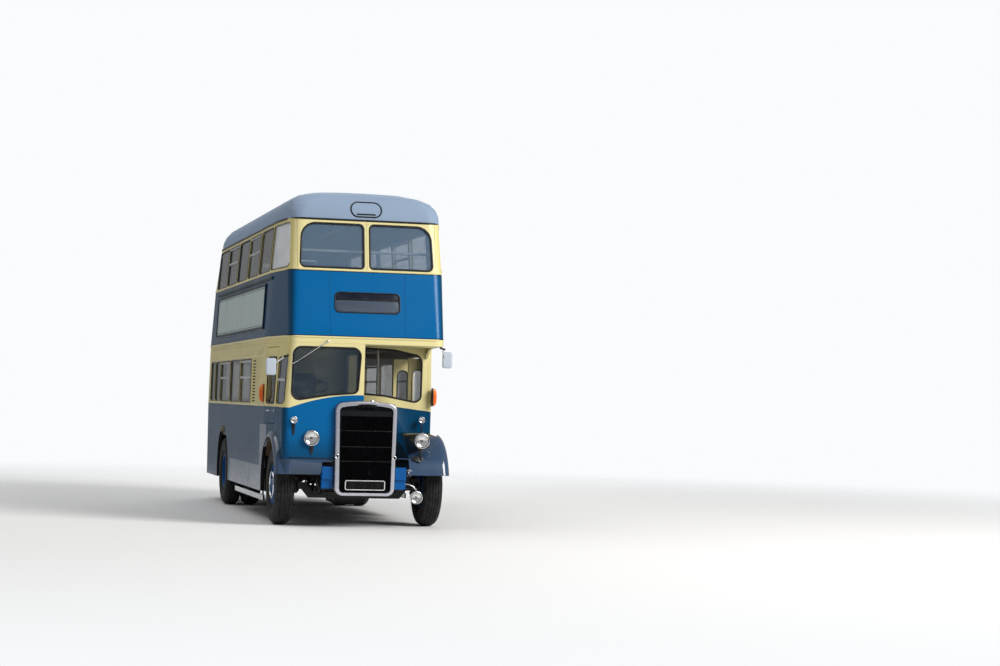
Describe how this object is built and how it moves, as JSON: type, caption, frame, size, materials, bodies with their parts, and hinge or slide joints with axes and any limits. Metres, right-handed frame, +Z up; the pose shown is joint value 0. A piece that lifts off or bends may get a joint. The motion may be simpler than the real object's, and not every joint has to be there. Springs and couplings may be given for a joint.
{
  "type": "double decker bus",
  "caption": "Half-cab double decker bus with a front engine behind an upright radiator, folding doors behind the front bulkhead, seats on two decks and twin rear wheels.",
  "frame": {"origin": "on the ground, at the middle of the whole bus's box", "axes": "the front faces -Y, the nearside (the kerb side, left of the driver) is +X, +Z is up"},
  "size_m": [2.57, 7.945, 4.402],
  "materials": {
    "blue_paint": "gloss",
    "cream_paint": "gloss",
    "grey_lining": "satin",
    "chassis_paint": "satin",
    "black_rubber": "matte",
    "leather": "satin",
    "engine_iron": "matte",
    "orange_plastic": "gloss",
    "tyre": "matte",
    "blue_wheel": "gloss",
    "chrome": "polished",
    "grey_paint": "satin",
    "floor_lining": "matte",
    "glass": "polished",
    "mirror": "polished",
    "black_plastic": "gloss",
    "black_iron": "satin",
    "polished_alloy": "polished",
    "roof_paint": "satin",
    "pale_board": "satin"
  },
  "bodies": {
    "root": {"cab_front": "cream_paint", "cab_glass": "glass", "cab_inner": "grey_lining", "cab_side": "cream_paint", "canopy": "cream_paint", "chassis_frame": "chassis_paint", "destination_box": "black_rubber", "driver_seat": "leather", "engine_block": "engine_iron", "flashers": "orange_plastic", "front_axle": "chassis_paint", "front_bulkhead": "cream_paint", "fuel_tank": "chassis_paint", "grab_rails": "chrome", "lamps": "chrome", "lifeguards": "grey_paint", "lower_floor": "floor_lining", "lower_glass": "glass", "lower_rear": "blue_paint", "lower_seats": "leather", "lower_side_nearside": "blue_paint", "lower_side_offside": "blue_paint", "mirrors": "mirror", "number_plate": "black_plastic", "radiator_grille": "black_iron", "radiator_shell": "polished_alloy", "rear_axle": "chassis_paint", "roof": "roof_paint", "side_boards": "pale_board", "staircase": "floor_lining", "steering_column": "chassis_paint", "upper_floor": "floor_lining", "upper_front": "blue_paint", "upper_glass": "glass", "upper_rear": "blue_paint", "upper_seats": "leather", "upper_side_nearside": "blue_paint", "upper_side_offside": "blue_paint", "wing_nearside": "grey_paint", "wing_offside": "grey_paint"},
    "knuckle_offside": {"steering_knuckle_offside": "chassis_paint"},
    "knuckle_nearside": {"steering_knuckle_nearside": "chassis_paint"},
    "wheel_front_offside": {"front_tyre_offside": "tyre", "front_wheel_offside": "blue_wheel"},
    "wheel_front_nearside": {"front_tyre_nearside": "tyre", "front_wheel_nearside": "blue_wheel"},
    "wheels_rear_offside": {"rear_tyres_offside": "tyre", "rear_wheel_offside": "blue_wheel"},
    "wheels_rear_nearside": {"rear_tyres_nearside": "tyre", "rear_wheel_nearside": "blue_wheel"},
    "bonnet": {"bonnet_lid": "blue_paint"},
    "cab_door": {"cab_door": "cream_paint"},
    "rear_door": {"rear_door": "blue_paint"},
    "emergency_window": {"emergency_window": "cream_paint"},
    "leaf_fore_outer": {"door_leaf_fore_outer": "cream_paint"},
    "leaf_fore_inner": {"door_leaf_fore_inner": "cream_paint"},
    "leaf_aft_outer": {"door_leaf_aft_outer": "cream_paint"},
    "leaf_aft_inner": {"door_leaf_aft_inner": "cream_paint"},
    "steering_wheel": {"steering_wheel": "black_plastic"}
  },
  "joints": [
    {"name": "steer_offside", "type": "hinge", "parent": "root", "child": "knuckle_offside", "pos_m": [-0.8, -3.1865, 0.51], "axis": [0, 0, 1], "range_deg": [-33, 33]},
    {"name": "steer_nearside", "type": "hinge", "parent": "root", "child": "knuckle_nearside", "pos_m": [0.8, -3.1865, 0.51], "axis": [0, 0, 1], "range_deg": [-33, 33]},
    {"name": "roll_front_offside", "type": "hinge", "parent": "knuckle_offside", "child": "wheel_front_offside", "pos_m": [-0.97, -3.1865, 0.51], "axis": [1, 0, 0], "continuous": true},
    {"name": "roll_front_nearside", "type": "hinge", "parent": "knuckle_nearside", "child": "wheel_front_nearside", "pos_m": [0.97, -3.1865, 0.51], "axis": [1, 0, 0], "continuous": true},
    {"name": "roll_rear_offside", "type": "hinge", "parent": "root", "child": "wheels_rear_offside", "pos_m": [-0.846, 1.7915, 0.51], "axis": [1, 0, 0], "continuous": true},
    {"name": "roll_rear_nearside", "type": "hinge", "parent": "root", "child": "wheels_rear_nearside", "pos_m": [0.846, 1.7915, 0.51], "axis": [1, 0, 0], "continuous": true},
    {"name": "bonnet_lift", "type": "hinge", "parent": "root", "child": "bonnet", "pos_m": [-0.022, -3.1525, 1.59], "axis": [0, -1, 0], "range_deg": [0, 75]},
    {"name": "cab_door_swing", "type": "hinge", "parent": "root", "child": "cab_door", "pos_m": [-1.143, -2.7805, 1.8], "axis": [0, 0, -1], "range_deg": [0, 75]},
    {"name": "rear_door_swing", "type": "hinge", "parent": "root", "child": "rear_door", "pos_m": [0.352, 3.9525, 1.5], "axis": [0, 0, -1], "range_deg": [0, 90]},
    {"name": "emergency_window_drop", "type": "hinge", "parent": "root", "child": "emergency_window", "pos_m": [0, 3.8263, 3.228], "axis": [-1, 0, 0], "range_deg": [0, 85]},
    {"name": "leaf_fore_swing", "type": "hinge", "parent": "root", "child": "leaf_fore_outer", "pos_m": [1.1, -2.4645, 1.36], "axis": [0, 0, -1], "range_deg": [0, 90]},
    {"name": "leaf_fore_fold", "type": "hinge", "parent": "leaf_fore_outer", "child": "leaf_fore_inner", "pos_m": [0.8365, -2.4365, 1.36], "axis": [0, 0, 1], "range_deg": [0, 180]},
    {"name": "leaf_aft_swing", "type": "hinge", "parent": "root", "child": "leaf_aft_outer", "pos_m": [1.1, -1.4025, 1.36], "axis": [0, 0, 1], "range_deg": [0, 90]},
    {"name": "leaf_aft_fold", "type": "hinge", "parent": "leaf_aft_outer", "child": "leaf_aft_inner", "pos_m": [0.8365, -1.4305, 1.36], "axis": [0, 0, -1], "range_deg": [0, 180]},
    {"name": "steering_wheel_turn", "type": "hinge", "parent": "root", "child": "steering_wheel", "pos_m": [-0.64, -3.3325, 1.79], "axis": [0, 0.3401, 0.9404], "range_deg": [-396, 396]}
  ],
  "couplings": [
    {"joint": "steer_nearside", "follows": "steer_offside", "ratio": 1},
    {"joint": "steering_wheel_turn", "follows": "steer_offside", "ratio": 12},
    {"joint": "leaf_fore_fold", "follows": "leaf_fore_swing", "ratio": 2},
    {"joint": "leaf_aft_fold", "follows": "leaf_aft_swing", "ratio": 2}
  ]
}
